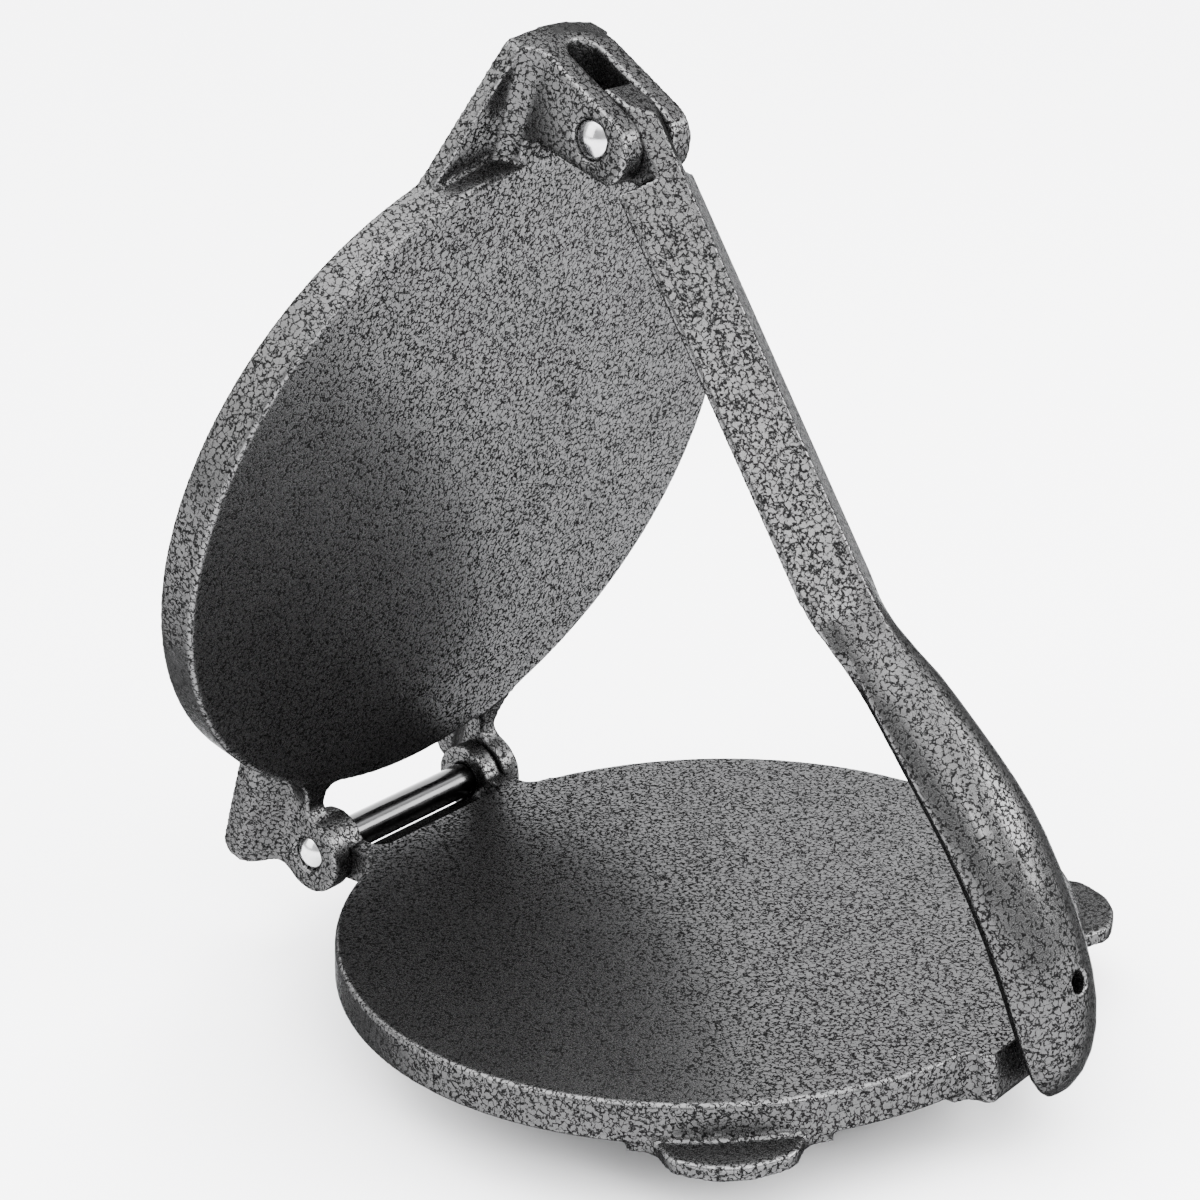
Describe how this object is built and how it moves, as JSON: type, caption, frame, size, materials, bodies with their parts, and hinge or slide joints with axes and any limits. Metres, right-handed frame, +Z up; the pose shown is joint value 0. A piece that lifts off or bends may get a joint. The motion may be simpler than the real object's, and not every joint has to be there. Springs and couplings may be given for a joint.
{
  "type": "tortilla press",
  "caption": "Hinged two-plate hand press with a lever pinned in a clevis on the upper plate, for flattening dough into round flatbreads.",
  "frame": {"origin": "centre of the lower plate's pressing face", "axes": "+Z up from the lower pressing face, +X from the hinge towards the nose and the lever's grip, +Y across the press along the pins"},
  "size_m": [0.2663, 0.2046, 0.2693],
  "materials": {
    "vein_coat": "silver vein powder coat on cast iron, dark crackle lines on grey",
    "pin_steel": "polished steel"
  },
  "bodies": {
    "base": {"base": "vein_coat", "hinge_pin": "pin_steel"},
    "upper_plate": {"upper_plate": "vein_coat"},
    "lever": {"lever": "vein_coat", "lever_pin": "pin_steel"}
  },
  "joints": [
    {"name": "plate_hinge", "type": "hinge", "parent": "base", "child": "upper_plate", "pos_m": [-0.1185, 0, -0.0025], "axis": [0, 1, 0], "range_deg": [0, 68.6]},
    {"name": "lever_swing", "type": "hinge", "parent": "upper_plate", "child": "lever", "pos_m": [-0.01792, 0, 0.21167], "axis": [0, -1, 0], "range_deg": [0, 129.3]}
  ],
  "couplings": [
    {"joint": "lever_swing", "follows": "plate_hinge", "ratio": 1.8834}
  ]
}
